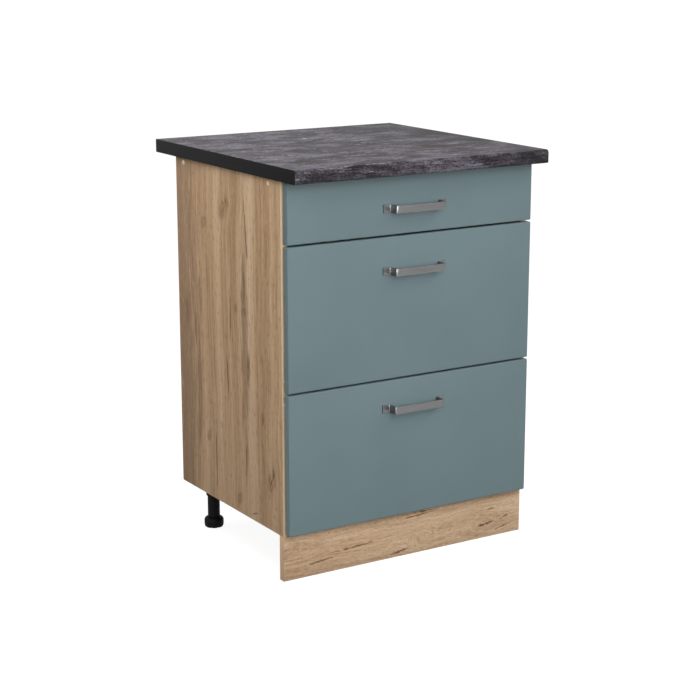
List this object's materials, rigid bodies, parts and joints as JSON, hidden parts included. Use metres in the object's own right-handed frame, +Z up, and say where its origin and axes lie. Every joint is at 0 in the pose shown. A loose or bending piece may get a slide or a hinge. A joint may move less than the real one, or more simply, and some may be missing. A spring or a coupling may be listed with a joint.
{
  "type": "kitchen base cabinet with drawers",
  "caption": "Kitchen base cabinet with a shallow drawer over deep drawers on roller runners, bow handles, a stone-look worktop, a plinth board and adjustable rear feet.",
  "frame": {"origin": "on the floor, under the middle of the worktop", "axes": "+Z up, front faces -Y, +X to the right of someone who faces the front"},
  "size_m": [0.61, 0.6, 0.85],
  "materials": {
    "slate_laminate": "matt stone-look laminate, dark grey with lighter streaks",
    "black_edging": "flat black edge band",
    "oak_decor": "melamine-faced chipboard in knotty oak, grain upright",
    "oak_edging": "light oak edge band",
    "plinth_oak": "melamine-faced chipboard in oak, grain along its length",
    "grey_board": "light grey melamine-faced chipboard",
    "hardboard": "hardboard, raw and brown outside, lacquered grey inside",
    "matte_front": "matt grey-teal foil on fibreboard",
    "brushed_handle": "brushed metal, satin",
    "coated_steel": "light grey powder coat",
    "zinc_steel": "zinc-plated",
    "nylon": "natural nylon",
    "black_plastic": "moulded black plastic"
  },
  "bodies": {
    "carcass": {"worktop": "slate_laminate", "worktop_edging_left": "black_edging", "worktop_edging_right": "black_edging", "side_panel_left": "oak_decor", "side_panel_right": "oak_decor", "bottom_panel": "oak_decor", "side_edging_left": "oak_edging", "side_edging_right": "oak_edging", "top_rail_front": "grey_board", "top_rail_rear": "grey_board", "back_panel": "hardboard", "plinth_board": "plinth_oak", "plinth_bracket_left": "zinc_steel", "plinth_bracket_right": "zinc_steel", "leg_socket_left": "black_plastic", "leg_socket_right": "black_plastic", "top_runner_left": "zinc_steel", "top_runner_right": "zinc_steel", "middle_runner_left": "zinc_steel", "middle_runner_right": "zinc_steel", "bottom_runner_left": "zinc_steel", "bottom_runner_right": "zinc_steel"},
    "left_foot": {"leg_foot_left": "black_plastic"},
    "right_foot": {"leg_foot_right": "black_plastic"},
    "top_drawer": {"top_drawer_front": "matte_front", "top_handle": "brushed_handle", "top_drawer_bottom": "grey_board", "top_drawer_back": "grey_board", "top_drawer_side_left": "coated_steel", "top_drawer_side_right": "coated_steel"},
    "top_runner_roller_left": {"top_runner_roller_left": "nylon"},
    "top_drawer_roller_left": {"top_drawer_roller_left": "nylon"},
    "top_runner_roller_right": {"top_runner_roller_right": "nylon"},
    "top_drawer_roller_right": {"top_drawer_roller_right": "nylon"},
    "middle_drawer": {"middle_drawer_front": "matte_front", "middle_handle": "brushed_handle", "middle_drawer_bottom": "grey_board", "middle_drawer_back": "grey_board", "middle_drawer_side_left": "coated_steel", "middle_drawer_side_right": "coated_steel", "middle_gallery_rail_left": "coated_steel", "middle_gallery_rail_right": "coated_steel"},
    "middle_runner_roller_left": {"middle_runner_roller_left": "nylon"},
    "middle_drawer_roller_left": {"middle_drawer_roller_left": "nylon"},
    "middle_runner_roller_right": {"middle_runner_roller_right": "nylon"},
    "middle_drawer_roller_right": {"middle_drawer_roller_right": "nylon"},
    "bottom_drawer": {"bottom_drawer_front": "matte_front", "bottom_handle": "brushed_handle", "bottom_drawer_bottom": "grey_board", "bottom_drawer_back": "grey_board", "bottom_drawer_side_left": "coated_steel", "bottom_drawer_side_right": "coated_steel", "bottom_gallery_rail_left": "coated_steel", "bottom_gallery_rail_right": "coated_steel"},
    "bottom_runner_roller_left": {"bottom_runner_roller_left": "nylon"},
    "bottom_drawer_roller_left": {"bottom_drawer_roller_left": "nylon"},
    "bottom_runner_roller_right": {"bottom_runner_roller_right": "nylon"},
    "bottom_drawer_roller_right": {"bottom_drawer_roller_right": "nylon"}
  },
  "joints": [
    {"name": "top_drawer_slide", "type": "slide", "parent": "carcass", "child": "top_drawer", "axis": [0, -1, 0], "range_m": [0, 0.31]},
    {"name": "top_runner_roller_left_spin", "type": "hinge", "parent": "carcass", "child": "top_runner_roller_left", "pos_m": [-0.277, -0.222, 0.7138], "axis": [1, 0, 0], "range_deg": [0, 1800]},
    {"name": "top_drawer_roller_left_spin", "type": "hinge", "parent": "top_drawer", "child": "top_drawer_roller_left", "pos_m": [-0.277, 0.15, 0.7202], "axis": [1, 0, 0], "range_deg": [0, 1800]},
    {"name": "top_runner_roller_right_spin", "type": "hinge", "parent": "carcass", "child": "top_runner_roller_right", "pos_m": [0.277, -0.222, 0.7138], "axis": [1, 0, 0], "range_deg": [0, 1800]},
    {"name": "top_drawer_roller_right_spin", "type": "hinge", "parent": "top_drawer", "child": "top_drawer_roller_right", "pos_m": [0.277, 0.15, 0.7202], "axis": [1, 0, 0], "range_deg": [0, 1800]},
    {"name": "middle_drawer_slide", "type": "slide", "parent": "carcass", "child": "middle_drawer", "axis": [0, -1, 0], "range_m": [0, 0.31]},
    {"name": "middle_runner_roller_left_spin", "type": "hinge", "parent": "carcass", "child": "middle_runner_roller_left", "pos_m": [-0.277, -0.222, 0.4273], "axis": [1, 0, 0], "range_deg": [0, 1800]},
    {"name": "middle_drawer_roller_left_spin", "type": "hinge", "parent": "middle_drawer", "child": "middle_drawer_roller_left", "pos_m": [-0.277, 0.15, 0.4337], "axis": [1, 0, 0], "range_deg": [0, 1800]},
    {"name": "middle_runner_roller_right_spin", "type": "hinge", "parent": "carcass", "child": "middle_runner_roller_right", "pos_m": [0.277, -0.222, 0.4273], "axis": [1, 0, 0], "range_deg": [0, 1800]},
    {"name": "middle_drawer_roller_right_spin", "type": "hinge", "parent": "middle_drawer", "child": "middle_drawer_roller_right", "pos_m": [0.277, 0.15, 0.4337], "axis": [1, 0, 0], "range_deg": [0, 1800]},
    {"name": "bottom_drawer_slide", "type": "slide", "parent": "carcass", "child": "bottom_drawer", "axis": [0, -1, 0], "range_m": [0, 0.31]},
    {"name": "bottom_runner_roller_left_spin", "type": "hinge", "parent": "carcass", "child": "bottom_runner_roller_left", "pos_m": [-0.277, -0.222, 0.1288], "axis": [1, 0, 0], "range_deg": [0, 1800]},
    {"name": "bottom_drawer_roller_left_spin", "type": "hinge", "parent": "bottom_drawer", "child": "bottom_drawer_roller_left", "pos_m": [-0.277, 0.15, 0.1352], "axis": [1, 0, 0], "range_deg": [0, 1800]},
    {"name": "bottom_runner_roller_right_spin", "type": "hinge", "parent": "carcass", "child": "bottom_runner_roller_right", "pos_m": [0.277, -0.222, 0.1288], "axis": [1, 0, 0], "range_deg": [0, 1800]},
    {"name": "bottom_drawer_roller_right_spin", "type": "hinge", "parent": "bottom_drawer", "child": "bottom_drawer_roller_right", "pos_m": [0.277, 0.15, 0.1352], "axis": [1, 0, 0], "range_deg": [0, 1800]},
    {"name": "left_foot_height", "type": "slide", "parent": "carcass", "child": "left_foot", "axis": [0, 0, -1], "range_m": [0, 0.018]},
    {"name": "right_foot_height", "type": "slide", "parent": "carcass", "child": "right_foot", "axis": [0, 0, -1], "range_m": [0, 0.018]}
  ],
  "couplings": [
    {"joint": "top_runner_roller_left_spin", "follows": "top_drawer_slide", "rad_per_m": 100},
    {"joint": "top_drawer_roller_left_spin", "follows": "top_drawer_slide", "rad_per_m": 100},
    {"joint": "top_runner_roller_right_spin", "follows": "top_drawer_slide", "rad_per_m": 100},
    {"joint": "top_drawer_roller_right_spin", "follows": "top_drawer_slide", "rad_per_m": 100},
    {"joint": "middle_runner_roller_left_spin", "follows": "middle_drawer_slide", "rad_per_m": 100},
    {"joint": "middle_drawer_roller_left_spin", "follows": "middle_drawer_slide", "rad_per_m": 100},
    {"joint": "middle_runner_roller_right_spin", "follows": "middle_drawer_slide", "rad_per_m": 100},
    {"joint": "middle_drawer_roller_right_spin", "follows": "middle_drawer_slide", "rad_per_m": 100},
    {"joint": "bottom_runner_roller_left_spin", "follows": "bottom_drawer_slide", "rad_per_m": 100},
    {"joint": "bottom_drawer_roller_left_spin", "follows": "bottom_drawer_slide", "rad_per_m": 100},
    {"joint": "bottom_runner_roller_right_spin", "follows": "bottom_drawer_slide", "rad_per_m": 100},
    {"joint": "bottom_drawer_roller_right_spin", "follows": "bottom_drawer_slide", "rad_per_m": 100}
  ]
}
